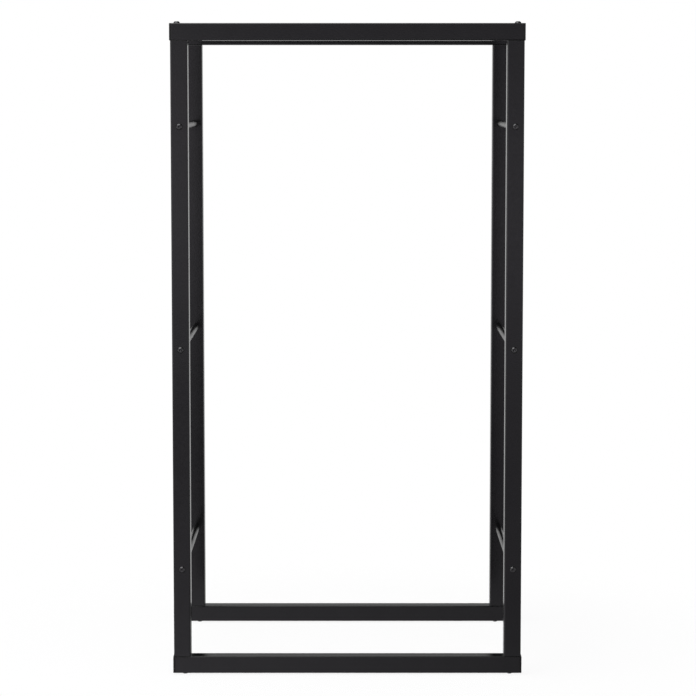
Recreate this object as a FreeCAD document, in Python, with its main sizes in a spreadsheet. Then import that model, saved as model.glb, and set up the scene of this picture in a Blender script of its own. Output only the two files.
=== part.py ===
"""Firewood rack: two frames of square steel tube, tied front to back by three rungs a side.

Frame: +Z up, front towards -Y, left towards -X. The origin is on the floor, under the
middle of the rack. The rack stands on the heads of the four screws under its bottom rails.
"""
import FreeCAD, Part
import Sketcher
import math
import os

# Driving dimensions in millimetres: name, value and what it measures
SIZES = [
    ("rack_width", 510.0, "over the outer faces of the uprights"),
    ("rack_height", 950.0, "over the outer faces of the rails"),
    ("rack_depth", 400.0, "over the outer faces of the two frames"),
    ("tube_side", 25.0, "outside of the square tube"),
    ("tube_wall", 1.5, "wall of the square tube"),
    ("tube_corner", 2.0, "outer corner radius of the square tube"),
    ("bore_corner_least", 0.3, "smallest corner radius inside the tube"),
    ("rung_diameter", 10.0, "round bar of a rung"),
    ("rung_inset", 151.5, "from a rail's outer face to the nearest rung's axis, before the rise"),
    ("rung_rise", 3.0, "how far all rungs sit above an even spacing"),
    ("rung_chamfer", 0.6, "chamfer on a rung's ends"),
    ("screw_diameter", 5.0, "shank of every screw"),
    ("thread_reach", 15.0, "how far a screw reaches past the tube it holds"),
    ("tap_run_out", 3.0, "tapped hole beyond the tip of a screw"),
    ("screw_tip_chamfer", 0.7, "chamfer on the tip of a screw"),
    ("screw_clearance", 0.3, "gap round a screw in a tube wall"),
    ("thread_clearance", 0.05, "gap round a screw in a thread"),
    ("head_diameter", 9.5, "button head of a screw"),
    ("head_height", 2.75, "height of a button head"),
    ("head_rim", 0.6, "straight rim below the dome of a head"),
    ("head_flat", 5.4, "flat on top of the dome of a head"),
    ("socket_width", 3.0, "hexagon socket across its flats"),
    ("socket_depth", 1.6, "depth of the hexagon socket"),
    ("block_width", 15.0, "thread block along the rail"),
    ("block_height", 14.0, "thread block along the upright"),
    ("block_fit", 0.1, "gap between a thread block and the tube"),
    ("block_corner_extra", 0.5, "block's corner radius beyond the tube's inner one"),
    ("cap_proud", 1.5, "how far an end cap stands out past the upright"),
    ("cap_flange", 3.0, "thickness of an end cap's flange"),
    ("cap_edge", 0.8, "rounding of an end cap's outer edge"),
    ("cap_fit", 0.1, "gap between an end cap's legs and the tube"),
    ("leg_length", 9.0, "reach of an end cap's legs into the tube"),
    ("leg_thickness", 1.8, "thickness of an end cap's leg"),
    ("leg_inset", 3.0, "from the tube's inner side to the edge of a leg"),
]

# Sizes and places that follow from the driving dimensions
BORE_SIDE = "(Sizes.tube_side - 2 * Sizes.tube_wall)"
BORE_CORNER = "max(Sizes.tube_corner - Sizes.tube_wall; Sizes.bore_corner_least)"
UPRIGHT_LENGTH = "(Sizes.rack_height - 2 * Sizes.tube_side)"
RAIL_LENGTH = "(Sizes.rack_width + 2 * (Sizes.cap_proud - Sizes.cap_flange))"
RUNG_LENGTH = "(Sizes.rack_depth - 2 * Sizes.tube_side)"
RUNG_SPACING = "(Sizes.rack_height / 2 - Sizes.rung_inset)"
SCREW_LENGTH = "(Sizes.tube_side + Sizes.thread_reach)"
TAP_RADIUS = "(Sizes.screw_diameter / 2 + Sizes.thread_clearance)"
SCREW_HOLE = "(Sizes.screw_diameter + 2 * Sizes.screw_clearance)"
FRAME_X = "(Sizes.rack_width - Sizes.tube_side) / 2"
FRAME_Y = "(Sizes.rack_depth - Sizes.tube_side) / 2"
FRAME_Z = "(Sizes.rack_height - Sizes.tube_side) / 2"
MIDDLE_Z = "(Sizes.head_height + Sizes.rack_height / 2)"
# A thread block lies against one side of the tube, so its thread is off the upright's axis
THREAD_OFFSET = f"({BORE_SIDE} / 2 - Sizes.block_fit - Sizes.block_width / 2)"

FRAMES = {"front": -1, "rear": 1}
LEVELS = {"bottom": -1, "top": 1}
SIDES = {"left": -1, "right": 1}
RUNG_LEVELS = {"bottom": -1, "middle": 0, "top": 1}

UPWARDS = FreeCAD.Rotation()
DOWNWARDS = FreeCAD.Rotation(FreeCAD.Vector(1, 0, 0), 180)
BACKWARDS = FreeCAD.Rotation(FreeCAD.Vector(1, 0, 0), -90)
FORWARDS = FreeCAD.Rotation(FreeCAD.Vector(1, 0, 0), 90)
TO_SIDE = {side: FreeCAD.Rotation(FreeCAD.Vector(0, 1, 0), 90 * sign) for side, sign in SIDES.items()}

doc = FreeCAD.newDocument("firewood_rack")


def make_sheet():
    """The sheet that holds the driving dimensions."""
    sheet = doc.addObject("Spreadsheet::Sheet", "Sizes")
    for row, (name, value, meaning) in enumerate(SIZES, 1):
        sheet.set(f"A{row}", name)
        sheet.set(f"B{row}", str(value))
        sheet.set(f"C{row}", meaning)
        sheet.setAlias(f"B{row}", name)
    doc.recompute()
    return sheet


sheet = make_sheet()


def number(expression):
    """What an expression of the driving dimensions comes to now."""
    return float(sheet.evalExpression(expression))


# Sketch helpers
def add_sketch(body, name, plane, height="0"):
    """A sketch on one of the body's own planes, moved off it by a height."""
    sketch = body.newObject("Sketcher::SketchObject", name)
    support = next(each for each in body.Origin.OriginFeatures if each.Role == plane)
    sketch.AttachmentSupport = [(support, "")]
    sketch.MapMode = "FlatFace"
    sketch.setExpression("AttachmentOffset.Base.z", height)
    return sketch


def bind(sketch, constraint, name, expression):
    """Add a constraint and tie its value to an expression."""
    sketch.renameConstraint(sketch.addConstraint(constraint), name)
    sketch.setExpression(f"Constraints.{name}", expression)


def bind_point(sketch, geometry, point, name, x, y):
    """Tie a point's two coordinates to expressions."""
    bind(sketch, Sketcher.Constraint("DistanceX", -1, 1, geometry, point, number(x)), name + "_x", x)
    bind(sketch, Sketcher.Constraint("DistanceY", -1, 1, geometry, point, number(y)), name + "_y", y)


def draw_circle(sketch, name, diameter, x="0", y="0"):
    """A circle tied to its diameter and centre."""
    centre = FreeCAD.Vector(number(x), number(y), 0)
    circle = Part.Circle(centre, FreeCAD.Vector(0, 0, 1), number(diameter) / 2)
    geometry = sketch.addGeometry(circle, False)
    bind(sketch, Sketcher.Constraint("Diameter", geometry, number(diameter)), name, diameter)
    bind_point(sketch, geometry, 3, name, x, y)


def draw_profile(sketch, corners):
    """A closed outline of straight lines through corners given as pairs of expressions."""
    points = [FreeCAD.Vector(number(x), number(y), 0) for x, y in corners]
    lines = [Part.LineSegment(start, end) for start, end in zip(points, points[1:] + points[:1])]
    first = sketch.addGeometry(lines, False)[0]
    for index, (x, y) in enumerate(corners):
        following = (index + 1) % len(corners)
        sketch.addConstraint(Sketcher.Constraint("Coincident", first + index, 2, first + following, 1))
        bind_point(sketch, first + index, 1, f"corner_{first + index}", x, y)


def draw_rounded_rectangle(sketch, name, width, height, radius):
    """A rectangle with round corners about the sketch's origin."""
    across, along, corner = number(width) / 2, number(height) / 2, number(radius)
    turns = [(1, -1), (1, 1), (-1, 1), (-1, -1)]
    sides = []
    arcs = []
    for index, (right, up) in enumerate(turns):
        centre = FreeCAD.Vector(right * (across - corner), up * (along - corner), 0)
        start = math.radians(90 * (index - 1))
        circle = Part.Circle(centre, FreeCAD.Vector(0, 0, 1), corner)
        arcs.append(Part.ArcOfCircle(circle, start, start + math.pi / 2))
    for index in range(len(turns)):
        sides.append(Part.LineSegment(arcs[index - 1].EndPoint, arcs[index].StartPoint))
    lines = sketch.addGeometry(sides, False)
    rounds = sketch.addGeometry(arcs, False)
    for index in range(len(turns)):
        sketch.addConstraint(Sketcher.Constraint("Tangent", lines[index], 2, rounds[index], 1))
        sketch.addConstraint(Sketcher.Constraint("Tangent", rounds[index - 1], 2, lines[index], 1))
    for arc in rounds[1:]:
        sketch.addConstraint(Sketcher.Constraint("Equal", rounds[0], arc))
    bottom, right, top, left = lines
    sketch.addConstraint(Sketcher.Constraint("Symmetric", bottom, 1, bottom, 2, -2))
    sketch.addConstraint(Sketcher.Constraint("Symmetric", right, 1, right, 2, -1))
    sketch.addConstraint(Sketcher.Constraint("Horizontal", top))
    sketch.addConstraint(Sketcher.Constraint("Vertical", left))
    bind(sketch, Sketcher.Constraint("Radius", rounds[0], corner), name + "_corner", radius)
    bind(sketch, Sketcher.Constraint("DistanceX", left, 1, right, 1, 2 * across), name + "_width", width)
    bind(sketch, Sketcher.Constraint("DistanceY", bottom, 1, top, 1, 2 * along), name + "_height", height)


# Feature helpers
def pad(body, sketch, length, symmetric=False, reverse=False):
    """Raise a sketch to a solid."""
    feature = body.newObject("PartDesign::Pad", sketch.Name + "_pad")
    feature.Profile = sketch
    feature.SideType = "Symmetric" if symmetric else "One side"
    feature.Reversed = reverse
    feature.setExpression("Length", length)
    return feature


def revolve(body, sketch):
    """Turn a sketch once round its vertical axis."""
    feature = body.newObject("PartDesign::Revolution", sketch.Name + "_revolution")
    feature.Profile = sketch
    feature.ReferenceAxis = (sketch, ["V_Axis"])
    feature.Angle = 360
    return feature


def pocket(body, sketch, depth=None):
    """Cut a sketch out of a solid, to a depth or right through it both ways."""
    doc.recompute()
    before = body.Shape.Volume
    feature = body.newObject("PartDesign::Pocket", sketch.Name + "_pocket")
    feature.Profile = sketch
    if depth:
        feature.setExpression("Length", depth)
    else:
        feature.Type = "ThroughAll"
        feature.SideType = "Symmetric"
    doc.recompute()
    if body.Shape.Volume >= before:
        raise RuntimeError(f"{feature.Name} cuts nothing")


def place(item, rotation, x, y, z):
    """Turn a piece and tie its place to expressions."""
    item.Placement = FreeCAD.Placement(FreeCAD.Vector(), rotation)
    for axis, expression in zip("xyz", (x, y, z)):
        item.setExpression(f"Placement.Base.{axis}", expression)


def new_body(name):
    """An empty body whose label names its file."""
    body = doc.addObject("PartDesign::Body", name)
    body.Label = name
    return body


# Square tubes
def make_tube(name, plane, length):
    """A length of square tube about the body's origin."""
    body = new_body(name)
    section = add_sketch(body, name + "_section", plane)
    draw_rounded_rectangle(section, "outside", "Sizes.tube_side", "Sizes.tube_side", "Sizes.tube_corner")
    draw_rounded_rectangle(section, "bore", BORE_SIDE, BORE_SIDE, BORE_CORNER)
    pad(body, section, length, symmetric=True)
    return body


def rung_step(level):
    """Height of a rung above the middle of the rack."""
    return f"(Sizes.rung_rise + {RUNG_LEVELS[level]} * {RUNG_SPACING})"


def make_upright(frame, side):
    """An upright, drilled front to back for its three rung screws."""
    body = make_tube(f"{frame}_{side}_upright", "XY_Plane", UPRIGHT_LENGTH)
    holes = add_sketch(body, body.Name + "_holes", "XZ_Plane")
    for level in RUNG_LEVELS:
        draw_circle(holes, level, SCREW_HOLE, "0", rung_step(level))
    pocket(body, holes)
    place(body, UPWARDS, f"{SIDES[side]} * {FRAME_X}", f"{FRAMES[frame]} * {FRAME_Y}", MIDDLE_Z)
    return body


def thread_x(level, side):
    """Where a rail screw goes: outside the upright's axis at the top, inside it at the bottom."""
    return f"{SIDES[side]} * ({FRAME_X} + {LEVELS[level]} * {THREAD_OFFSET})"


def rail_z(level):
    """Height of a rail's axis."""
    return f"({MIDDLE_Z} + {LEVELS[level]} * {FRAME_Z})"


def make_rail(frame, level):
    """A rail, drilled downwards for the screws into the two uprights."""
    body = make_tube(f"{frame}_{level}_rail", "YZ_Plane", RAIL_LENGTH)
    holes = add_sketch(body, body.Name + "_holes", "XY_Plane")
    for side in SIDES:
        draw_circle(holes, side, SCREW_HOLE, thread_x(level, side))
    pocket(body, holes)
    place(body, UPWARDS, "0", f"{FRAMES[frame]} * {FRAME_Y}", rail_z(level))
    return body


# Rungs
def make_rung(side, level):
    """A round bar with a tapped hole and a chamfer at each end."""
    body = new_body(f"{side}_{level}_rung")
    radius = "Sizes.rung_diameter / 2"
    chamfer = f"min(Sizes.rung_chamfer; ({radius} - {TAP_RADIUS}) / 2)"
    half = f"{RUNG_LENGTH} / 2"
    tap_end = f"({half} - Sizes.thread_reach - Sizes.tap_run_out)"
    upper = [
        (radius, f"{half} - {chamfer}"),
        (f"{radius} - {chamfer}", half),
        (TAP_RADIUS, half),
        (TAP_RADIUS, tap_end),
        ("0", tap_end),
    ]
    lower = [(x, f"-({y})") for x, y in reversed(upper)]
    outline = add_sketch(body, body.Name + "_outline", "XZ_Plane")
    draw_profile(outline, upper + lower)
    revolve(body, outline)
    place(body, BACKWARDS, f"{SIDES[side]} * {FRAME_X}", "0", f"{MIDDLE_Z} + {rung_step(level)}")
    return body


# Screws
def make_screw():
    """The one screw that the rack uses, with its head's underside at the origin and its dome up."""
    body = new_body("rack_screw")
    shank = "Sizes.screw_diameter / 2"
    rim = "Sizes.head_diameter / 2"
    flat = "Sizes.head_flat / 2"
    tip = f"-{SCREW_LENGTH}"
    corners = [
        ("0", "Sizes.head_height"),
        ("0", tip),
        (f"{shank} - Sizes.screw_tip_chamfer", tip),
        (shank, f"{tip} + Sizes.screw_tip_chamfer"),
        (shank, "0"),
        (rim, "0"),
        (rim, "Sizes.head_rim"),
        (flat, "Sizes.head_height"),
    ]
    outline = add_sketch(body, "screw_outline", "XZ_Plane")
    draw_profile(outline, corners)
    # The straight line across the dome gives way to an arc about the screw's axis
    chord = len(corners) - 2
    low, high = (FreeCAD.Vector(number(x), number(y), 0) for x, y in corners[chord:])
    middle = (high.x ** 2 + high.y ** 2 - low.x ** 2 - low.y ** 2) / (2 * (high.y - low.y))
    centre = FreeCAD.Vector(0, middle, 0)
    radius = low.distanceToPoint(centre)
    crown = centre + ((low + high) / 2 - centre).normalize() * radius
    dome = outline.addGeometry(Part.Arc(low, crown, high), False)
    outline.toggleConstruction(chord)
    outline.addConstraint(Sketcher.Constraint("Coincident", dome, 1, chord, 1))
    outline.addConstraint(Sketcher.Constraint("Coincident", dome, 2, chord, 2))
    outline.addConstraint(Sketcher.Constraint("PointOnObject", dome, 3, -2))
    revolve(body, outline)
    socket = add_sketch(body, "screw_socket", "XY_Plane", "Sizes.head_height")
    reach = "Sizes.socket_width / sqrt(3)"
    turns = [60 * step for step in range(6)]
    draw_profile(socket, [(f"{reach} * cos({turn} deg)", f"{reach} * sin({turn} deg)") for turn in turns])
    pocket(body, socket, "Sizes.socket_depth")
    return body


def make_screw_group(name, screw, seats):
    """Screws of one kind as a group of separate solids, each turned and set on its seat."""
    copies = []
    for index, (rotation, x, y, z) in enumerate(seats, 1):
        copy = doc.addObject("App::Link", f"{name}_{index}")
        copy.LinkedObject = screw
        place(copy, rotation, x, y, z)
        copies.append(copy)
    group = doc.addObject("Part::Compound", name)
    group.Label = name
    group.Links = copies
    return group


def rung_screw_seats(frame):
    """Seats on the outer face of a frame's uprights, one for each rung end."""
    rotation = FORWARDS if frame == "front" else BACKWARDS
    y = f"{FRAMES[frame]} * Sizes.rack_depth / 2"
    seats = []
    for side, sign in SIDES.items():
        for level in RUNG_LEVELS:
            seats.append((rotation, f"{sign} * {FRAME_X}", y, f"{MIDDLE_Z} + {rung_step(level)}"))
    return seats


def rail_screw_seats(level):
    """Seats on the outer face of the rails, one over or under each upright."""
    rotation = UPWARDS if level == "top" else DOWNWARDS
    z = f"{MIDDLE_Z} + {LEVELS[level]} * Sizes.rack_height / 2"
    seats = []
    for sign in FRAMES.values():
        for side in SIDES:
            seats.append((rotation, thread_x(level, side), f"{sign} * {FRAME_Y}", z))
    return seats


# Thread blocks
def make_thread_block(frame, side, level):
    """A steel block in the end of an upright, tapped right through for a rail screw."""
    body = new_body(f"{frame}_{side}_{level}_thread_block")
    depth = f"{BORE_SIDE} - 2 * Sizes.block_fit"
    corner = f"{BORE_CORNER} + Sizes.block_corner_extra"
    section = add_sketch(body, body.Name + "_section", "XY_Plane")
    draw_rounded_rectangle(section, "block", "Sizes.block_width", depth, corner)
    draw_circle(section, "thread", f"2 * {TAP_RADIUS}")
    pad(body, section, "Sizes.block_height", reverse=True)
    rotation = UPWARDS if level == "top" else DOWNWARDS
    z = f"{MIDDLE_Z} + {LEVELS[level]} * {UPRIGHT_LENGTH} / 2"
    place(body, rotation, thread_x(level, side), f"{FRAMES[frame]} * {FRAME_Y}", z)
    return body


# End caps
def make_end_cap(frame, level, side):
    """A plastic cap: a flange over the end of a rail, and two legs inside it clear of the screw."""
    body = new_body(f"{frame}_{level}_{side}_end_cap")
    flange = add_sketch(body, body.Name + "_flange", "XY_Plane")
    draw_rounded_rectangle(flange, "flange", "Sizes.tube_side", "Sizes.tube_side", "Sizes.tube_corner")
    flange_pad = pad(body, flange, "Sizes.cap_flange")
    doc.recompute()
    top = flange_pad.Shape.BoundBox.ZMax
    rim = []
    for index, edge in enumerate(flange_pad.Shape.Edges, 1):
        if min(vertex.Z for vertex in edge.Vertexes) > top - Part.Precision.confusion():
            rim.append(f"Edge{index}")
    rounding = body.newObject("PartDesign::Fillet", body.Name + "_rounding")
    rounding.Base = (flange_pad, rim)
    rounding.setExpression("Radius", "min(Sizes.cap_edge; Sizes.cap_flange / 2)")
    legs = add_sketch(body, body.Name + "_legs", "XY_Plane")
    edge_x = f"({BORE_SIDE} / 2 - Sizes.leg_inset)"
    outer_y = f"({BORE_SIDE} / 2 - Sizes.cap_fit)"
    inner_y = f"({outer_y} - Sizes.leg_thickness)"
    for sign in (-1, 1):
        ends = [(-1, inner_y), (1, inner_y), (1, outer_y), (-1, outer_y)]
        draw_profile(legs, [(f"{turn} * {edge_x}", f"{sign} * {y}") for turn, y in ends])
    pad(body, legs, "Sizes.leg_length", reverse=True)
    x = f"{SIDES[side]} * {RAIL_LENGTH} / 2"
    place(body, TO_SIDE[side], x, f"{FRAMES[frame]} * {FRAME_Y}", rail_z(level))
    return body


def make_rack():
    """Every piece of the rack, in the order in which it is put together."""
    pieces = []
    for frame in FRAMES:
        for side in SIDES:
            pieces.append(make_upright(frame, side))
            for level in LEVELS:
                pieces.append(make_thread_block(frame, side, level))
        for level in LEVELS:
            pieces.append(make_rail(frame, level))
            for side in SIDES:
                pieces.append(make_end_cap(frame, level, side))
    for side in SIDES:
        for level in RUNG_LEVELS:
            pieces.append(make_rung(side, level))
    screw = make_screw()
    for frame in FRAMES:
        pieces.append(make_screw_group(f"{frame}_rung_screws", screw, rung_screw_seats(frame)))
    for level in LEVELS:
        pieces.append(make_screw_group(f"{level}_rail_screws", screw, rail_screw_seats(level)))
    return pieces


def check(pieces):
    """Stop if any object failed or any piece has no sound solid."""
    for item in doc.Objects:
        if "Invalid" in item.State or "Error" in item.State:
            raise RuntimeError(f"{item.Label} failed: {item.State}")
    for piece in pieces:
        if piece.Shape.isNull() or not piece.Shape.isValid() or not piece.Shape.Solids:
            raise RuntimeError(f"{piece.Label} has no sound solid")


pieces = make_rack()
doc.recompute()
check(pieces)
os.makedirs("parts", exist_ok=True)
for piece in pieces:
    piece.Shape.exportStep(f"parts/{piece.Label}.step")
print(f"{len(pieces)} nodes, {sum(len(piece.Shape.Solids) for piece in pieces)} solids")
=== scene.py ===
"""The looks of the firewood rack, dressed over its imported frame. Metres, +Z up, front towards -Y."""
import math

import bpy
from mathutils import Matrix, Vector


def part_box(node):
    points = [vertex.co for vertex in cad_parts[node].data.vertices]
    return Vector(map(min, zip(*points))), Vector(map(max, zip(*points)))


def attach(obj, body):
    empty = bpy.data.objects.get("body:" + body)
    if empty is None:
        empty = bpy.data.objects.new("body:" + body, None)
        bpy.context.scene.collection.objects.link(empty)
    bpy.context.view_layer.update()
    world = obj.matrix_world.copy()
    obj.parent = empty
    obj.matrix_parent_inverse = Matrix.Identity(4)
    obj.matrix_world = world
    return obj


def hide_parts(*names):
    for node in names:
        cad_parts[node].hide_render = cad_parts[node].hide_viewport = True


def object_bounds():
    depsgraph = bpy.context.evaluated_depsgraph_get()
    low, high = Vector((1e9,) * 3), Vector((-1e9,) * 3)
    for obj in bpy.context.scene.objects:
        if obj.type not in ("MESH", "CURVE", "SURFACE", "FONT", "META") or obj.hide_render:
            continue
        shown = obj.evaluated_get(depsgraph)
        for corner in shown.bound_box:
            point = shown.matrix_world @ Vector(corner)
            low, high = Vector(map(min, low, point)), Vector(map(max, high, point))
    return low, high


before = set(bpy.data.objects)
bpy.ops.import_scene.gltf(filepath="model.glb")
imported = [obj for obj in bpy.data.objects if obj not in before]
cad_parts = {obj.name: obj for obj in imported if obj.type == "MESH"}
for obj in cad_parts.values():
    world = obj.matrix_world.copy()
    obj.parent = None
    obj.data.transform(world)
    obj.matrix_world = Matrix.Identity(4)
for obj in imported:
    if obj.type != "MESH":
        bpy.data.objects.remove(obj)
cad_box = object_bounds()

MM = 0.001
BODY = "root"
X, Y, Z = range(3)
UP = Vector((0, 0, 1))

# Words in the names of the rack's nodes
FRAMES = ("front", "rear")
LEVELS = ("bottom", "top")
SIDES = ("left", "right")
RUNG_LEVELS = ("bottom", "middle", "top")

# Square tube
TUBE_WALL = 1.5 * MM
TUBE_CORNER = 2.0 * MM
BORE_CORNER = 0.5 * MM
TUBE_END_ROUNDING = 0.6 * MM
CORNER_STEPS = 8
ROUNDING_STEPS = 4
HOLE_DIAMETER = 5.6 * MM
HOLE_MARGIN = 1.5 * MM
HOLE_SIDES = 32
# A hole's first point is towards the first corner of the flat that it goes through
HOLE_TURN = math.radians(225)
# A tube's flat sides by the axis that they face, as indices in the order that its corners come
FACING_Y = (0, 2)
FACING_X = (1, 3)

# Rungs
RUNG_ROUNDING = 0.6 * MM
RUNG_SIDES = 48
TAP_DIAMETER = 5.1 * MM
TAP_DEPTH = 18.0 * MM

# Screws
SCREW_DIAMETER = 5.0 * MM
SCREW_LENGTH = 40.0 * MM
SCREW_TIP = 0.7 * MM
HEAD_DIAMETER = 9.5 * MM
HEAD_HEIGHT = 2.75 * MM
HEAD_RIM = 0.6 * MM
HEAD_FLAT = 5.4 * MM
HEAD_ROUNDING = 0.25 * MM
SOCKET_WIDTH = 3.0 * MM
SOCKET_DEPTH = 1.6 * MM
SOCKET_LEAD_IN = 0.2 * MM
SOCKET_POINT = 0.5 * MM
SCREW_TURN = math.radians(17)
SCREW_SIDES = 48
DOME_STEPS = 8

# End caps
CAP_FLANGE = 3.0 * MM
CAP_EDGE = 0.8 * MM
CAP_SEAM = 0.3 * MM
CAP_CROWN = 0.25 * MM
CAP_LEG_LENGTH = 9.0 * MM
CAP_LEG_THICKNESS = 1.8 * MM
CAP_LEG_INSET = 3.0 * MM
CAP_FIT = 0.1 * MM
GATE_RADIUS = 1.5 * MM
GATE_DEPTH = 0.2 * MM
# The crown's rings as shares of the way from its edge to the gate mark, and the mark's floor as a
# share of its mouth
CROWN_SHARES = (0.35, 0.7, 1.0)
GATE_FLOOR = 0.85

# Finishes: the darkest and the lightest colour, and the smoothest and the roughest patches
COAT_COLOURS = ((0.0030, 0.0030, 0.0033), (0.0052, 0.0052, 0.0056))
COAT_IOR = 1.5
TUBE_ROUGHNESS = (0.13, 0.19)
RUNG_ROUGHNESS = (0.22, 0.30)
ZINC_COLOURS = ((0.065, 0.065, 0.067), (0.105, 0.103, 0.105))
ZINC_ROUGHNESS = (0.12, 0.22)
PLASTIC_COLOURS = ((0.008, 0.008, 0.008), (0.012, 0.012, 0.012))
PLASTIC_ROUGHNESS = (0.42, 0.55)
PLASTIC_IOR = 1.4
STEEL_COLOURS = ((0.42, 0.42, 0.43), (0.56, 0.56, 0.57))
STEEL_ROUGHNESS = (0.30, 0.42)
MILLING_SCALE = 900
MILLING_WANDER = 1.5
# Most of a texture's values are in this range
TEXTURE_RANGE = (0.3, 0.7)

# Floor: its reach along X and Y, where its fade starts, how much of it covers, and its own glow
FLOOR_REACH = (0.85, 0.75)
FLOOR_FADE = 0.25
FLOOR_COVER = 0.14
FLOOR_GLOW = 0.35
FLOOR_COLOURS = ((0.90, 0.90, 0.90), (0.93, 0.93, 0.93))
FLOOR_ROUGHNESS = 0.9
FLOOR_SIDES = 64

# Studio: how bright it is in front, beside and behind the rack, by the sine of the height
FRONT_LEFT = ((-0.24, 0.8), (-0.2, 0.72), (-0.145, 0.2), (-0.035, 0.9), (0.1, 0.08))
FRONT_RIGHT = ((-0.26, 0.05), (-0.2, 0.33), (-0.14, 0.34), (-0.045, 0.7), (0.1, 0.06))
BESIDE = ((-0.2, 0.35), (0.2, 0.2))
BACK = ((-0.2, 0.55), (-0.02, 0.64), (0.1, 0.5), (0.2, 0.26), (0.4, 0.06))
# Where one of these goes over into the next, along a direction's X and Y
LEFT_TO_RIGHT = (-0.1, 0.1)
FRONT_TO_BESIDE = (-0.6, -0.15)
BESIDE_TO_BACK = (0.2, 0.8)
STUDIO_STRENGTH = 4.0
FRONT_TINT = (1.0, 0.955, 1.05)
PLAIN_TINT = (1.0, 1.0, 1.0)
# Sockets of a Mix node that mixes colours
MIX_SHARE, MIX_FIRST, MIX_SECOND, MIX_RESULT = 0, 6, 7, 2

# Softboxes: name, place, target, size and power in watts
RACK_MIDDLE = (0, 0, 0.5)
SOFTBOXES = (
    ("overhead_softbox", (-0.8, -0.6, 2.4), (-0.3, -0.2, 0), 2.0, 32),
    ("key_softbox", (-1.35, -2.2, 1.0), RACK_MIDDLE, 1.8, 7),
    ("high_softbox", (0.1, -2.2, 2.6), RACK_MIDDLE, 1.4, 6),
    ("left_softbox", (-2.4, -0.8, 0.9), RACK_MIDDLE, 3.0, 10),
    ("right_softbox", (2.4, -0.8, 0.9), RACK_MIDDLE, 3.0, 9),
)

# Camera, fitted to the photograph's edges: distance from the front face, place to the right of the
# middle, height, tilt down in degrees and lens in mm
CAMERA_DISTANCE = 3.744
CAMERA_ASIDE = 0.0009
CAMERA_HEIGHT = 0.8578
CAMERA_TILT = 5.704
CAMERA_LENS = 133.9


class Shape:
    """Points and faces of a mesh, with the exact normal at every corner of every face."""

    def __init__(self):
        self.points = []
        self.faces = []
        self.normals = []

    def ring(self, points):
        """New points. Gives their indices."""
        first = len(self.points)
        self.points += points
        return list(range(first, first + len(points)))

    def face(self, corners, normals):
        """One face, with a normal for each of its corners."""
        self.faces.append(corners)
        self.normals += normals

    def band(self, low, high, low_normals, high_normals, left_out=()):
        """Quads from one ring to the next, all round apart from those left out."""
        for index in range(len(low)):
            if index not in left_out:
                after = (index + 1) % len(low)
                corners = [low[index], low[after], high[after], high[index]]
                normals = [low_normals[index], low_normals[after], high_normals[after], high_normals[index]]
                self.face(corners, normals)

    def flat_band(self, low, high):
        """Quads from one ring to the next, each one flat."""
        for index in range(len(low)):
            after = (index + 1) % len(low)
            corners = [low[index], low[after], high[after], high[index]]
            a, b, c = (self.points[corner] for corner in corners[:3])
            self.face(corners, [(b - a).cross(c - a).normalized()] * 4)

    def lid(self, ring, normal):
        """A flat face that closes a ring."""
        self.face(list(ring), [normal] * len(ring))

    def pierced(self, corners, radius):
        """A flat quad round a hole in its middle. Gives the hole's edge and the directions to it."""
        start, right, opposite, left = (self.points[corner] for corner in corners)
        across = (right - start).normalized()
        along = (left - start).normalized()
        normals = [across.cross(along)] * 3
        directions = [across * spoke.x + along * spoke.y for spoke in spokes(HOLE_SIDES, HOLE_TURN)]
        edge = self.ring([(start + opposite) / 2 + direction * radius for direction in directions])
        share = HOLE_SIDES // len(corners)
        for index in range(HOLE_SIDES):
            nearest = corners[(index + share // 2) // share % len(corners)]
            self.face([nearest, edge[(index + 1) % HOLE_SIDES], edge[index]], normals)
        for index, corner in enumerate(corners):
            after = corners[(index + 1) % len(corners)]
            self.face([corner, after, edge[index * share + share // 2]], normals)
        return edge, directions

    def turn(self, profile, sides):
        """Bands round the Z axis along a profile of (radius, height, normal out, normal up)."""
        rings = []
        for radius, height, out, up in profile:
            points = [spoke * radius for spoke in spokes(sides)]
            rings.append((self.ring(lifted(points, height)), tilted(spokes(sides), out, up)))
        self.bands(rings)
        return rings

    def bands(self, rings):
        """Bands from each ring to the next one, given with their normals."""
        for (low, low_normals), (high, high_normals) in zip(rings, rings[1:]):
            self.band(low, high, low_normals, high_normals)

    def box(self, low, high):
        """A plain box between two corners."""
        x, y, z = ((low[axis], high[axis]) for axis in (X, Y, Z))
        first = self.ring([Vector((a, b, c)) for c in z for b in y for a in x])[0]
        for corners in ((0, 2, 3, 1), (4, 5, 7, 6), (0, 1, 5, 4), (2, 6, 7, 3), (0, 4, 6, 2), (1, 3, 7, 5)):
            ring = [first + corner for corner in corners]
            a, b, c = (self.points[corner] for corner in ring[:3])
            self.lid(ring, (b - a).cross(c - b).normalized())

    def mesh(self, name):
        """The finished mesh."""
        mesh = bpy.data.meshes.new(name)
        mesh.from_pydata(self.points, [], self.faces)
        mesh.shade_smooth()
        mesh.normals_split_custom_set(self.normals)
        mesh.validate()
        return mesh


def spokes(sides, turn=0.0):
    """Unit vectors evenly round a full turn about Z."""
    angles = [turn + math.tau * index / sides for index in range(sides)]
    return [Vector((math.cos(angle), math.sin(angle), 0)) for angle in angles]


def quarter(steps):
    """Cosine and sine along a quarter turn."""
    for step in range(steps + 1):
        angle = math.pi / 2 * step / steps
        yield math.cos(angle), math.sin(angle)


def square_ring(half, corner):
    """Points and outward normals round a square with rounded corners, anticlockwise."""
    points, normals = [], []
    for index, (right, up) in enumerate(((1, 1), (-1, 1), (-1, -1), (1, -1))):
        centre = Vector((right * (half - corner), up * (half - corner), 0))
        for cosine, sine in quarter(CORNER_STEPS):
            normal = Matrix.Rotation(index * math.pi / 2, 3, "Z") @ Vector((cosine, sine, 0))
            points.append(centre + normal * corner)
            normals.append(normal)
    return points, normals


def lifted(points, height):
    """Points moved up by a height."""
    return [point + UP * height for point in points]


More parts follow.
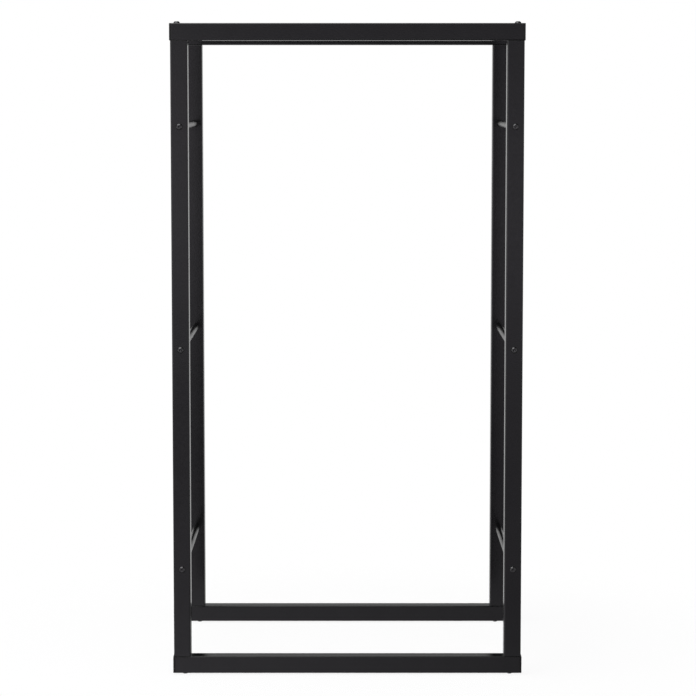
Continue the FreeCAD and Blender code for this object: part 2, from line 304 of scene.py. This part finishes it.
def tilted(normals, out, up):
    """Level normals tilted to a slope of so much up for so much out."""
    return [(normal * out + UP * up).normalized() for normal in normals]


# Shapes
def tube_end(half, bore, length):
    """Rings over a tube's upper end, from outside into the bore: points, normals, height and slope."""
    outer, inner = [], []
    for cosine, sine in quarter(ROUNDING_STEPS):
        inset = TUBE_END_ROUNDING * (1 - cosine)
        rise = length / 2 - TUBE_END_ROUNDING * (1 - sine)
        outer.append((*square_ring(half - inset, TUBE_CORNER - inset), rise, cosine, sine))
        inner.append((*square_ring(bore + inset, BORE_CORNER + inset), rise, -cosine, sine))
    return outer + inner[::-1]


def tube_mesh(name, side, length, holes, pierced_sides):
    """Square tube about the origin along Z: rounded corners and ends, and holes through two sides."""
    shape = Shape()
    half = side / 2
    bore = half - TUBE_WALL
    top = tube_end(half, bore, length)
    bottom = [(points, normals, -rise, out, -up) for points, normals, rise, out, up in reversed(top)]
    # Each hole lies between two rings of its own, outside and in the bore
    reach = HOLE_DIAMETER / 2 + HOLE_MARGIN
    levels = [hole + step for hole in holes for step in (-reach, reach)]
    outside = [(*square_ring(half, TUBE_CORNER), level, 1, 0) for level in levels]
    inside = [(*square_ring(bore, BORE_CORNER), level, -1, 0) for level in reversed(levels)]
    rings = []
    for points, normals, height, out, up in top + inside + bottom + outside:
        rings.append((shape.ring(lifted(points, height)), tilted(normals, out, up)))
    first_inside = len(top)
    first_outside = len(top + inside + bottom)
    starts_inside = range(first_inside, first_inside + len(levels), 2)
    starts_outside = range(first_outside, first_outside + len(levels), 2)
    # A flat side's quad starts at the last point of the corner before it
    gaps = [(flat + 1) * (CORNER_STEPS + 1) - 1 for flat in pierced_sides]
    for index, (low, low_normals) in enumerate(rings):
        high, high_normals = rings[(index + 1) % len(rings)]
        holed = index in starts_inside or index in starts_outside
        shape.band(low, high, low_normals, high_normals, gaps if holed else ())
    for start_outside, start_inside in zip(starts_outside, reversed(starts_inside)):
        for gap in gaps:
            bore_hole(shape, rings, start_outside, start_inside, gap)
    return shape.mesh(name)


def bore_hole(shape, rings, start_outside, start_inside, gap):
    """A round hole through a tube's wall, in the gap that its bands leave outside and in the bore."""
    edges = []
    for start in (start_outside, start_inside):
        low, high = rings[start][0], rings[start + 1][0]
        after = (gap + 1) % len(low)
        edges.append(shape.pierced([low[gap], low[after], high[after], high[gap]], HOLE_DIAMETER / 2))
    (outside, directions), (inside, _) = edges
    # The bore's side runs the other way up, so its points come in the opposite order
    last = 3 * HOLE_SIDES // 4
    facing = [inside[(last - index) % HOLE_SIDES] for index in range(HOLE_SIDES)]
    inward = [-direction for direction in directions]
    shape.band(outside, facing, inward, inward)


def rung_mesh(name, diameter, length):
    """Round bar about the origin along Z, with rounded ends and a tapped hole in each."""
    shape = Shape()
    radius = diameter / 2
    top = []
    for cosine, sine in quarter(ROUNDING_STEPS):
        out = radius - RUNG_ROUNDING * (1 - cosine)
        top.append((out, length / 2 - RUNG_ROUNDING * (1 - sine), cosine, sine))
    bottom = [(out, -height, cosine, -sine) for out, height, cosine, sine in reversed(top)]
    rings = shape.turn(bottom + top, RUNG_SIDES)
    tap = [spoke * TAP_DIAMETER / 2 for spoke in spokes(RUNG_SIDES)]
    inward = [-spoke for spoke in spokes(RUNG_SIDES)]
    for sign, rim in ((-1, rings[0][0]), (1, rings[-1][0])):
        facing = [UP * sign] * RUNG_SIDES
        mouth = shape.ring(lifted(tap, sign * length / 2))
        floor = shape.ring(lifted(tap, sign * (length / 2 - TAP_DEPTH)))
        shape.band(*[rim, mouth][::sign], facing, facing)
        shape.band(*[mouth, floor][::sign], inward, inward)
        shape.lid(floor[::sign], UP * sign)
    return shape.mesh(name)


def seat_profile():
    """Profile of a button head's rounded seat, outwards to its rim."""
    for cosine, sine in reversed(list(quarter(ROUNDING_STEPS))):
        out = HEAD_DIAMETER / 2 - HEAD_ROUNDING * (1 - cosine)
        yield out, HEAD_ROUNDING * (1 - sine), cosine, -sine


def dome_profile():
    """Profile of a button head's dome, from its rim to the flat round the socket."""
    rim, flat = HEAD_DIAMETER / 2, HEAD_FLAT / 2
    centre = (flat ** 2 + HEAD_HEIGHT ** 2 - rim ** 2 - HEAD_RIM ** 2) / (2 * (HEAD_HEIGHT - HEAD_RIM))
    radius = math.hypot(rim, HEAD_RIM - centre)
    low = math.atan2(HEAD_RIM - centre, rim)
    high = math.atan2(HEAD_HEIGHT - centre, flat)
    for step in range(DOME_STEPS + 1):
        angle = low + (high - low) * step / DOME_STEPS
        out, up = math.cos(angle), math.sin(angle)
        yield radius * out, centre + radius * up, out, up


def hexagon(sides, width, height):
    """Points on a hexagon, as many as a turned ring has."""
    points = []
    for index, spoke in enumerate(spokes(sides)):
        angle = math.tau * index / sides
        reach = width / 2 / math.cos(angle % (math.pi / 3) - math.pi / 6)
        points.append(spoke * reach)
    return lifted(points, height)


def screw_mesh(name):
    """Button-head screw, its seat at the origin and its dome up, with a hexagon socket."""
    shape = Shape()
    radius = SCREW_DIAMETER / 2
    outward = spokes(SCREW_SIDES)
    upward, downward = [UP] * SCREW_SIDES, [-UP] * SCREW_SIDES
    tip = shape.turn([
        (radius - SCREW_TIP, -SCREW_LENGTH, 1, -1),
        (radius, SCREW_TIP - SCREW_LENGTH, 1, -1),
    ], SCREW_SIDES)
    shape.lid(tip[0][0][::-1], -UP)
    neck = shape.ring([spoke * radius for spoke in outward])
    shape.band(tip[1][0], neck, outward, outward)
    seat = shape.turn(seat_profile(), SCREW_SIDES)
    shape.band(neck, seat[0][0], downward, downward)
    dome = shape.turn(dome_profile(), SCREW_SIDES)
    shape.band(seat[-1][0], dome[0][0], outward, outward)
    mouth_reach = SOCKET_WIDTH / math.sqrt(3) + SOCKET_LEAD_IN / 2
    mouth = shape.ring([spoke * mouth_reach + UP * HEAD_HEIGHT for spoke in outward])
    shape.band(dome[-1][0], mouth, upward, upward)
    add_socket(shape, mouth)
    return shape.mesh(name)


def add_socket(shape, mouth):
    """A screw's hexagon socket inside its round mouth: a lead-in, six flats and a drilled point."""
    edge = shape.ring(hexagon(SCREW_SIDES, SOCKET_WIDTH, HEAD_HEIGHT - SOCKET_LEAD_IN))
    lead_in = [(UP - spoke).normalized() for spoke in spokes(SCREW_SIDES)]
    shape.band(mouth, edge, lead_in, lead_in)
    foot = shape.ring(hexagon(SCREW_SIDES, SOCKET_WIDTH, HEAD_HEIGHT - SOCKET_DEPTH))
    shape.flat_band(edge, foot)
    point = shape.ring([UP * (HEAD_HEIGHT - SOCKET_DEPTH - SOCKET_POINT)])[0]
    for index in range(SCREW_SIDES):
        after = (index + 1) % SCREW_SIDES
        shape.face([foot[index], foot[after], point], [lead_in[index], lead_in[after], UP])


def flange_profile(face):
    """Profile of an end cap's flange, from its seam to its face: inset, height and slope."""
    for cosine, sine in reversed(list(quarter(ROUNDING_STEPS))):
        yield CAP_SEAM * (1 - cosine), CAP_SEAM * (1 - sine), cosine, -sine
    for cosine, sine in quarter(ROUNDING_STEPS):
        yield CAP_EDGE * (1 - cosine), face - CAP_EDGE * (1 - sine), cosine, sine


def cap_mesh(name, side):
    """Moulded end cap along Z: a softly crowned flange, a gate mark and two legs behind it."""
    shape = Shape()
    half = side / 2
    face = CAP_FLANGE - CAP_CROWN
    rings = []
    for inset, height, out, up in flange_profile(face):
        points, normals = square_ring(half - inset, TUBE_CORNER - inset)
        rings.append((shape.ring(lifted(points, height)), tilted(normals, out, up)))
    shape.lid(rings[0][0][::-1], -UP)
    # The crown rises towards a round gate mark in the middle of the face
    outer_points, outer_normals = square_ring(half - CAP_EDGE, TUBE_CORNER - CAP_EDGE)
    sides = len(outer_points)
    gate = [spoke * GATE_RADIUS for spoke in spokes(sides, math.pi / sides)]
    for share in CROWN_SHARES:
        height = face + CAP_CROWN * math.sin(share * math.pi / 2)
        points = [start.lerp(end, share) for start, end in zip(outer_points, gate)]
        slope = CAP_CROWN / half * math.cos(share * math.pi / 2)
        rings.append((shape.ring(lifted(points, height)), tilted(outer_normals, slope, 1)))
    shape.bands(rings)
    floor = shape.ring(lifted([point * GATE_FLOOR for point in gate], CAP_FLANGE - GATE_DEPTH))
    shape.flat_band(rings[-1][0], floor)
    shape.lid(floor, UP)
    add_legs(shape, half - TUBE_WALL)
    return shape.mesh(name)


def add_legs(shape, bore):
    """An end cap's two legs, along opposite sides of the tube's bore."""
    for sign in (-1, 1):
        near, far = sorted((sign * (bore - CAP_FIT), sign * (bore - CAP_FIT - CAP_LEG_THICKNESS)))
        low = (CAP_LEG_INSET - bore, near, -CAP_LEG_LENGTH)
        high = (bore - CAP_LEG_INSET, far, 0)
        shape.box(low, high)


# Materials
class Graph:
    """A node tree under construction, a material's or a world's."""

    def __init__(self, owner):
        owner.use_nodes = True
        self.owner = owner
        self.tree = owner.node_tree

    def add(self, kind, **settings):
        """A new node with these settings."""
        node = self.tree.nodes.new(kind)
        for name, value in settings.items():
            setattr(node, name, value)
        return node

    def link(self, output, target):
        """Feed an output to an input."""
        self.tree.links.new(output, target)

    def mapped(self, value, source, target=(0.0, 1.0), **settings):
        """A value moved from one range to another."""
        node = self.add("ShaderNodeMapRange", **settings)
        for name, limit in zip(("From Min", "From Max", "To Min", "To Max"), (*source, *target)):
            node.inputs[name].default_value = limit
        self.link(value, node.inputs["Value"])
        return node.outputs["Result"]

    def ramp(self, value, stops, interpolation="LINEAR"):
        """Colours along a value from 0 to 1, by stops of (position, colour)."""
        node = self.add("ShaderNodeValToRGB")
        node.color_ramp.interpolation = interpolation
        elements = node.color_ramp.elements
        while len(elements) < len(stops):
            elements.new(0.5)
        for element, (position, colour) in zip(elements, stops):
            element.position = position
            element.color = (*colour, 1)
        self.link(value, node.inputs["Fac"])
        return node.outputs["Color"]


class Finish(Graph):
    """A material under construction, its textures in the piece's own coordinates."""

    def __init__(self, name):
        super().__init__(bpy.data.materials.new(name))
        self.shader = self.tree.nodes["Principled BSDF"]
        self.place = self.add("ShaderNodeTexCoord").outputs["Object"]

    def noise(self, scale, detail):
        """A cloudy texture."""
        node = self.add("ShaderNodeTexNoise")
        node.inputs["Scale"].default_value = scale
        node.inputs["Detail"].default_value = detail
        self.link(self.place, node.inputs["Vector"])
        return node.outputs["Fac"]

    def milling(self):
        """Fine, slightly wandering lines across Z."""
        node = self.add("ShaderNodeTexWave", wave_type="BANDS", bands_direction="Z")
        node.inputs["Scale"].default_value = MILLING_SCALE
        node.inputs["Distortion"].default_value = MILLING_WANDER
        self.link(self.place, node.inputs["Vector"])
        return node.outputs["Fac"]

    def set(self, **values):
        """Plain values on the shader's own inputs, an underscore in a name for each space."""
        for name, value in values.items():
            self.shader.inputs[name.replace("_", " ")].default_value = value

    def colour(self, texture, colours):
        """The surface's colour, from one to another along a texture."""
        stops = list(zip(TEXTURE_RANGE, colours))
        self.link(self.ramp(texture, stops), self.shader.inputs["Base Color"])

    def roughness(self, texture, limits):
        """The surface's roughness, from one value to another along a texture."""
        self.link(self.mapped(texture, TEXTURE_RANGE, limits), self.shader.inputs["Roughness"])

    def relief(self, texture, distance, strength, under=None):
        """The surface's relief along a texture, on top of another relief where one is given."""
        node = self.add("ShaderNodeBump")
        node.inputs["Distance"].default_value = distance
        node.inputs["Strength"].default_value = strength
        self.link(texture, node.inputs["Height"])
        if under:
            self.link(under, node.inputs["Normal"])
        self.link(node.outputs["Normal"], self.shader.inputs["Normal"])
        return node.outputs["Normal"]


def powder_coat(name, roughness):
    """Semi-gloss black powder coat: orange peel, fine grain and a slightly uneven gloss."""
    finish = Finish(name)
    finish.colour(finish.noise(scale=28, detail=3), COAT_COLOURS)
    finish.roughness(finish.noise(scale=160, detail=4), roughness)
    peel = finish.relief(finish.noise(scale=620, detail=1), distance=0.05 * MM, strength=0.65)
    finish.relief(finish.noise(scale=3200, detail=2), distance=0.025 * MM, strength=0.3, under=peel)
    finish.set(IOR=COAT_IOR)
    return finish.owner


def black_zinc():
    """Black zinc on the screws: a dark, glossy metal film."""
    finish = Finish("black_zinc")
    finish.colour(finish.noise(scale=420, detail=3), ZINC_COLOURS)
    finish.roughness(finish.noise(scale=1500, detail=4), ZINC_ROUGHNESS)
    finish.relief(finish.noise(scale=2600, detail=3), distance=0.01 * MM, strength=0.4)
    finish.set(Metallic=1.0)
    return finish.owner


def cap_plastic():
    """Black moulded plastic with a fine spark-eroded grain."""
    finish = Finish("cap_plastic_grain")
    finish.colour(finish.noise(scale=90, detail=3), PLASTIC_COLOURS)
    finish.roughness(finish.noise(scale=900, detail=4), PLASTIC_ROUGHNESS)
    finish.relief(finish.noise(scale=2200, detail=3), distance=0.03 * MM, strength=0.5)
    finish.set(IOR=PLASTIC_IOR)
    return finish.owner


def block_steel():
    """Plain machined steel with milling lines."""
    finish = Finish("machined_steel")
    lines = finish.milling()
    finish.colour(finish.noise(scale=120, detail=3), STEEL_COLOURS)
    finish.roughness(lines, STEEL_ROUGHNESS)
    finish.relief(lines, distance=0.02 * MM, strength=0.4)
    finish.set(Metallic=1.0)
    return finish.owner


def pale_floor():
    """Plain pale studio floor that fades into the white background at its rim."""
    finish = Finish("pale_floor")
    finish.colour(finish.noise(scale=3, detail=4), FLOOR_COLOURS)
    finish.set(Roughness=FLOOR_ROUGHNESS, Specular_IOR_Level=0.0)
    finish.set(Emission_Color=(1, 1, 1, 1), Emission_Strength=FLOOR_GLOW)
    reach = finish.add("ShaderNodeVectorMath", operation="LENGTH")
    finish.link(finish.place, reach.inputs[0])
    fade = (FLOOR_FADE, 1.0), (FLOOR_COVER, 0.0)
    cover = finish.mapped(reach.outputs["Value"], *fade, interpolation_type="SMOOTHSTEP")
    finish.link(cover, finish.shader.inputs["Alpha"])
    return finish.owner


# Pieces
def add_object(name, mesh, matrix, material):
    """A mesh in the scene, at its place and in its material."""
    piece = bpy.data.objects.new(name, mesh)
    piece.matrix_world = matrix
    mesh.materials.clear()
    mesh.materials.append(material)
    bpy.context.scene.collection.objects.link(piece)
    return piece


def dress(name, mesh, matrix, material, node):
    """A piece that rides on the rack and stands for one of its nodes."""
    piece = add_object(name, mesh, matrix, material)
    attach(piece, BODY)
    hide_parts(node)


def middle(node):
    """The place in the middle of a node's box."""
    low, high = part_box(node)
    return Matrix.Translation((low + high) / 2)


def extent(node, axis):
    """The size of a node's box along an axis."""
    low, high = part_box(node)
    return high[axis] - low[axis]


def head_centres(node, axis, count):
    """Where a group's screws are along an axis, evenly from the first to the last."""
    low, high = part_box(node)
    first, last = low[axis] + HEAD_DIAMETER / 2, high[axis] - HEAD_DIAMETER / 2
    return [first + (last - first) * index / (count - 1) for index in range(count)]


ALONG_X = Matrix.Rotation(math.pi / 2, 4, "Y")
ALONG_Y = Matrix.Rotation(-math.pi / 2, 4, "X")


def add_tubes(coat):
    """The uprights and rails of both frames, with a hole under every screw."""
    for which in FRAMES:
        for side in SIDES:
            node = f"{which}_{side}_upright"
            place = middle(node)
            heads = head_centres(f"{which}_rung_screws", Z, len(RUNG_LEVELS))
            holes = [z - place.translation.z for z in heads]
            mesh = tube_mesh(node + "_tube", extent(node, X), extent(node, Z), holes, FACING_Y)
            dress(node + "_tube", mesh, place, coat, node)
        for level in LEVELS:
            node = f"{which}_{level}_rail"
            place = middle(node)
            heads = head_centres(f"{level}_rail_screws", X, len(SIDES))
            holes = [x - place.translation.x for x in heads]
            mesh = tube_mesh(node + "_tube", extent(node, Y), extent(node, X), holes, FACING_X)
            dress(node + "_tube", mesh, place @ ALONG_X, coat, node)


def add_rungs(coat):
    """The round bars that join the two frames."""
    for side in SIDES:
        for level in RUNG_LEVELS:
            node = f"{side}_{level}_rung"
            mesh = rung_mesh(node + "_bar", extent(node, X), extent(node, Y))
            dress(node + "_bar", mesh, middle(node) @ ALONG_Y, coat, node)


def add_caps(plastic):
    """The caps in the rail ends, their flanges against the tube."""
    for which in FRAMES:
        for level in LEVELS:
            for side, sign in zip(SIDES, (-1, 1)):
                node = f"{which}_{level}_{side}_end_cap"
                low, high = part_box(node)
                rail_end = low.x + CAP_FLANGE if sign < 0 else high.x - CAP_FLANGE
                place = Matrix.Translation((rail_end, (low.y + high.y) / 2, (low.z + high.z) / 2))
                turn = Matrix.Rotation(sign * math.pi / 2, 4, "Y")
                mesh = cap_mesh(node + "_moulding", extent(node, Y))
                dress(node + "_moulding", mesh, place @ turn, plastic, node)


def joined(name, single, matrices):
    """One mesh with a copy of another at each matrix."""
    shape = Shape()
    corners = [tuple(face.vertices) for face in single.polygons]
    normals = [corner.vector.copy() for corner in single.corner_normals]
    for matrix in matrices:
        first = len(shape.points)
        turn = matrix.to_3x3()
        shape.points += [matrix @ vertex.co for vertex in single.vertices]
        shape.faces += [[first + index for index in face] for face in corners]
        shape.normals += [turn @ normal for normal in normals]
    return shape.mesh(name)


def rung_screw_places(which):
    """The screws that hold the rungs to a frame, their domes away from the rack."""
    node = f"{which}_rung_screws"
    low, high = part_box(node)
    seat, turn = (low.y + HEAD_HEIGHT, 90) if which == "front" else (high.y - HEAD_HEIGHT, -90)
    outward = Matrix.Rotation(math.radians(turn), 4, "X")
    places = []
    for x in head_centres(node, X, len(SIDES)):
        for z in head_centres(node, Z, len(RUNG_LEVELS)):
            places.append(Matrix.Translation((x, seat, z)) @ outward)
    return places


def rail_screw_places(level):
    """The screws on top of the top rails, or under the bottom ones."""
    node = f"{level}_rail_screws"
    low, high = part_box(node)
    seat, turn = (high.z - HEAD_HEIGHT, 0) if level == "top" else (low.z + HEAD_HEIGHT, 180)
    outward = Matrix.Rotation(math.radians(turn), 4, "X")
    places = []
    for x in head_centres(node, X, len(SIDES)):
        for y in head_centres(node, Y, len(FRAMES)):
            places.append(Matrix.Translation((x, y, seat)) @ outward)
    return places


def add_screws(finish):
    """The four groups of screws."""
    groups = {f"{which}_rung_screws": rung_screw_places(which) for which in FRAMES}
    groups.update({f"{level}_rail_screws": rail_screw_places(level) for level in LEVELS})
    single = screw_mesh("screw")
    for node, places in groups.items():
        # Every screw was driven home at its own angle
        driven = [place @ Matrix.Rotation(SCREW_TURN * index, 4, "Z") for index, place in enumerate(places)]
        mesh = joined(node + "_set", single, driven)
        dress(node + "_set", mesh, Matrix.Identity(4), finish, node)
    bpy.data.meshes.remove(single)


def finish_blocks(steel):
    """The thread blocks keep their own meshes, in plain steel."""
    for name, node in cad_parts.items():
        if name.endswith("_thread_block"):
            node.data.materials.clear()
            node.data.materials.append(steel)


# Studio
def add_floor():
    """A round sheet under the rack, with radius 1 before it is scaled to its size."""
    shape = Shape()
    shape.lid(shape.ring(spokes(FLOOR_SIDES)), UP)
    size = Matrix.Diagonal((*FLOOR_REACH, 1, 1))
    add_object("studio_floor", shape.mesh("studio_floor"), size, pale_floor())


def add_light(name, place, target, size, power):
    """A square softbox that faces its target."""
    light = bpy.data.lights.new(name, "AREA")
    light.shape = "SQUARE"
    light.size = size
    light.energy = power
    lamp = bpy.data.objects.new(name, light)
    lamp.location = place
    lamp.rotation_euler = (Vector(target) - Vector(place)).to_track_quat("-Z", "Y").to_euler()
    bpy.context.scene.collection.objects.link(lamp)


class Studio(Graph):
    """The world: plain white to the eye, and to all that it lights a soft studio."""

    def __init__(self):
        super().__init__(bpy.data.worlds.new("white_studio"))
        axes = self.add("ShaderNodeSeparateXYZ")
        self.link(self.add("ShaderNodeTexCoord").outputs["Generated"], axes.inputs["Vector"])
        self.side, self.depth, self.height = axes.outputs

    def brightness(self, heights, tint):
        """Tinted brightness by height, from straight down to straight up."""
        stops = []
        for height, bright in heights:
            stops.append(((height + 1) / 2, [bright / STUDIO_STRENGTH * part for part in tint]))
        return self.ramp(self.mapped(self.height, (-1, 1)), stops, "EASE")

    def mix(self, share, first, second):
        """A share of the second colour, and the rest of the first."""
        node = self.add("ShaderNodeMix", data_type="RGBA")
        self.link(share, node.inputs[MIX_SHARE])
        self.link(first, node.inputs[MIX_FIRST])
        self.link(second, node.inputs[MIX_SECOND])
        return node.outputs[MIX_RESULT]

    def around(self):
        """The soft studio's colour in every direction."""
        left = self.brightness(FRONT_LEFT, FRONT_TINT)
        right = self.brightness(FRONT_RIGHT, FRONT_TINT)
        front = self.mix(self.mapped(self.side, LEFT_TO_RIGHT), left, right)
        beside = self.brightness(BESIDE, PLAIN_TINT)
        near_half = self.mix(self.mapped(self.depth, FRONT_TO_BESIDE), front, beside)
        back = self.brightness(BACK, PLAIN_TINT)
        return self.mix(self.mapped(self.depth, BESIDE_TO_BACK), near_half, back)

    def build(self):
        """The finished world."""
        studio = self.add("ShaderNodeBackground")
        studio.inputs["Strength"].default_value = STUDIO_STRENGTH
        self.link(self.around(), studio.inputs["Color"])
        white = self.tree.nodes["Background"]
        white.inputs["Color"].default_value = (1, 1, 1, 1)
        white.inputs["Strength"].default_value = 1.0
        seen = self.add("ShaderNodeMixShader")
        self.link(self.add("ShaderNodeLightPath").outputs["Is Camera Ray"], seen.inputs["Fac"])
        self.link(studio.outputs["Background"], seen.inputs[1])
        self.link(white.outputs["Background"], seen.inputs[2])
        self.link(seen.outputs["Shader"], self.tree.nodes["World Output"].inputs["Surface"])
        return self.owner


def add_studio():
    """The world, the floor and the softboxes."""
    scene = bpy.context.scene
    scene.world = Studio().build()
    scene.view_settings.view_transform = "Standard"
    add_floor()
    for softbox in SOFTBOXES:
        add_light(*softbox)


def add_camera():
    """The photograph's camera, in front of the rack and looking down a little."""
    low, high = cad_box
    camera = bpy.data.cameras.new("photo_camera")
    camera.lens = CAMERA_LENS
    holder = bpy.data.objects.new("photo_camera", camera)
    front_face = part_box("front_left_upright")[0].y
    across = (low.x + high.x) / 2 + CAMERA_ASIDE
    holder.location = (across, front_face - CAMERA_DISTANCE, CAMERA_HEIGHT)
    holder.rotation_euler = (math.radians(90 - CAMERA_TILT), 0, 0)
    bpy.context.scene.collection.objects.link(holder)
    bpy.context.scene.camera = holder


add_tubes(powder_coat("black_powder_coat", TUBE_ROUGHNESS))
add_rungs(powder_coat("rung_powder_coat", RUNG_ROUGHNESS))
add_caps(cap_plastic())
add_screws(black_zinc())
finish_blocks(block_steel())
add_studio()
add_camera()
